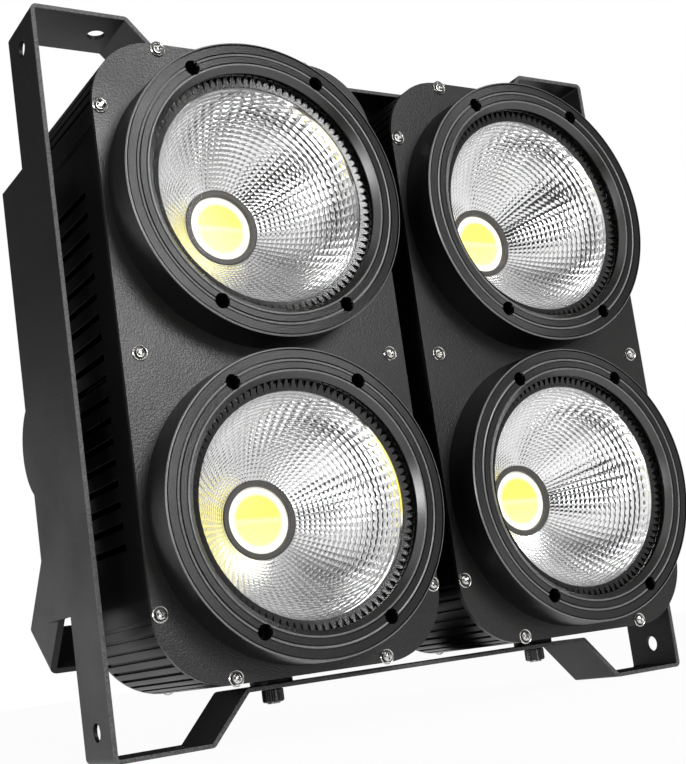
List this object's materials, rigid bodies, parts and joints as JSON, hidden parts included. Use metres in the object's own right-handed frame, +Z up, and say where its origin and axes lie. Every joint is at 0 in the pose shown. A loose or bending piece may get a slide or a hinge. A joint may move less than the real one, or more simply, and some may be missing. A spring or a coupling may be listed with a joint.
{
  "type": "audience blinder light",
  "caption": "Stage blinder: round COB lamps with faceted reflectors in flat modules that pan in a bent steel frame with a tilting rear yoke and link holes.",
  "frame": {"origin": "middle of the bottom of the overall box, on the surface that the light stands on", "axes": "+X to the right seen from the front, +Y from the lamps to the back, +Z up"},
  "size_m": [0.42, 0.1866, 0.435],
  "materials": {
    "frame_steel": "textured black powder coat on bent steel",
    "case_aluminium": "black anodised aluminium extrusion, satin",
    "plate_black": "fine-textured matt black coat on sheet steel",
    "ring_black": "turned aluminium, black anodised, semi-gloss",
    "screw_chrome": "bright plated steel",
    "screw_black": "blackened steel",
    "glass_clear": "clear toughened glass",
    "reflector_bright": "faceted and polished reflector",
    "trim_black": "moulded black plastic",
    "seal_silicone": "silicone rubber",
    "holder_grey": "moulded grey plastic",
    "chip_phosphor": "yellow phosphor under clear silicone",
    "sink_aluminium": "plain extruded aluminium",
    "driver_metal": "folded sheet, dull",
    "fan_plastic": "moulded black plastic",
    "board_green": "lacquered circuit board",
    "window_dark": "smoked clear plastic",
    "button_grey": "moulded grey plastic",
    "socket_black": "moulded black nylon",
    "pivot_steel": "zinc plated steel",
    "nut_dark": "knurled and blackened steel",
    "spacer_nylon": "black nylon",
    "lever_black": "glass-filled nylon, black"
  },
  "bodies": {
    "frame": {"side_bracket_left": "frame_steel", "side_bracket_right": "frame_steel", "top_bar": "frame_steel", "bottom_bar": "frame_steel", "pan_spacers_left": "spacer_nylon", "pan_spacers_right": "spacer_nylon"},
    "yoke": {"yoke": "frame_steel"},
    "module_left": {"housing_left": "case_aluminium", "front_plate_left": "plate_black", "rear_cover_left": "plate_black", "case_screws_left": "screw_chrome", "ring_screws_left": "screw_black", "seal_rings_left": "seal_silicone", "chip_holders_left": "holder_grey", "light_chips_left": "chip_phosphor", "heat_sink_left": "sink_aluminium", "driver_box_left": "driver_metal", "fan_frame_left": "fan_plastic", "pan_studs_left": "pivot_steel", "toothed_trims_left": "trim_black", "lens_ring_upper_left": "ring_black", "lens_glass_upper_left": "glass_clear", "reflector_upper_left": "reflector_bright", "lens_ring_lower_left": "ring_black", "lens_glass_lower_left": "glass_clear", "reflector_lower_left": "reflector_bright", "display_window": "window_dark", "control_board": "board_green", "signal_sockets": "socket_black", "power_sockets": "socket_black"},
    "pan_nut_left": {"pan_nut_left": "nut_dark"},
    "tilt_lever_left": {"tilt_lever_left": "lever_black"},
    "fan_rotor_left": {"fan_rotor_left": "fan_plastic"},
    "module_right": {"housing_right": "case_aluminium", "front_plate_right": "plate_black", "rear_cover_right": "plate_black", "case_screws_right": "screw_chrome", "ring_screws_right": "screw_black", "seal_rings_right": "seal_silicone", "chip_holders_right": "holder_grey", "light_chips_right": "chip_phosphor", "heat_sink_right": "sink_aluminium", "driver_box_right": "driver_metal", "fan_frame_right": "fan_plastic", "pan_studs_right": "pivot_steel", "toothed_trims_right": "trim_black", "lens_ring_upper_right": "ring_black", "lens_glass_upper_right": "glass_clear", "reflector_upper_right": "reflector_bright", "lens_ring_lower_right": "ring_black", "lens_glass_lower_right": "glass_clear", "reflector_lower_right": "reflector_bright"},
    "pan_nut_right": {"pan_nut_right": "nut_dark"},
    "tilt_lever_right": {"tilt_lever_right": "lever_black"},
    "fan_rotor_right": {"fan_rotor_right": "fan_plastic"},
    "button_menu": {"button_menu": "button_grey"},
    "button_down": {"button_down": "button_grey"},
    "button_up": {"button_up": "button_grey"},
    "button_enter": {"button_enter": "button_grey"}
  },
  "joints": [
    {"name": "yoke_tilt", "type": "hinge", "parent": "frame", "child": "yoke", "pos_m": [0, 0.0367, 0.1885], "axis": [1, 0, 0], "range_deg": [-5, 145]},
    {"name": "module_pan_left", "type": "hinge", "parent": "frame", "child": "module_left", "pos_m": [-0.1, -0.0147, 0.2175], "axis": [0, 0, 1], "range_deg": [-8, 8]},
    {"name": "pan_nut_turn_left", "type": "hinge", "parent": "module_left", "child": "pan_nut_left", "pos_m": [-0.1, -0.0147, 0.0215], "axis": [0, 0, 1], "continuous": true},
    {"name": "tilt_lever_turn_left", "type": "hinge", "parent": "frame", "child": "tilt_lever_left", "pos_m": [-0.197, 0.0367, 0.1885], "axis": [1, 0, 0], "range_deg": [-65, 100]},
    {"name": "fan_spin_left", "type": "hinge", "parent": "module_left", "child": "fan_rotor_left", "pos_m": [-0.1, 0.0167, 0.2175], "axis": [0, 1, 0], "continuous": true},
    {"name": "module_pan_right", "type": "hinge", "parent": "frame", "child": "module_right", "pos_m": [0.1, -0.0147, 0.2175], "axis": [0, 0, 1], "range_deg": [-8, 8]},
    {"name": "pan_nut_turn_right", "type": "hinge", "parent": "module_right", "child": "pan_nut_right", "pos_m": [0.1, -0.0147, 0.0215], "axis": [0, 0, 1], "continuous": true},
    {"name": "tilt_lever_turn_right", "type": "hinge", "parent": "frame", "child": "tilt_lever_right", "pos_m": [0.197, 0.0367, 0.1885], "axis": [1, 0, 0], "range_deg": [-65, 100]},
    {"name": "fan_spin_right", "type": "hinge", "parent": "module_right", "child": "fan_rotor_right", "pos_m": [0.1, 0.0167, 0.2175], "axis": [0, 1, 0], "continuous": true},
    {"name": "press_menu", "type": "slide", "parent": "module_left", "child": "button_menu", "axis": [0, -1, 0], "range_m": [0, 0.001], "stiffness_N_per_m": 600, "springref_m": -0.0005},
    {"name": "press_down", "type": "slide", "parent": "module_left", "child": "button_down", "axis": [0, -1, 0], "range_m": [0, 0.001], "stiffness_N_per_m": 600, "springref_m": -0.0005},
    {"name": "press_up", "type": "slide", "parent": "module_left", "child": "button_up", "axis": [0, -1, 0], "range_m": [0, 0.001], "stiffness_N_per_m": 600, "springref_m": -0.0005},
    {"name": "press_enter", "type": "slide", "parent": "module_left", "child": "button_enter", "axis": [0, -1, 0], "range_m": [0, 0.001], "stiffness_N_per_m": 600, "springref_m": -0.0005}
  ]
}
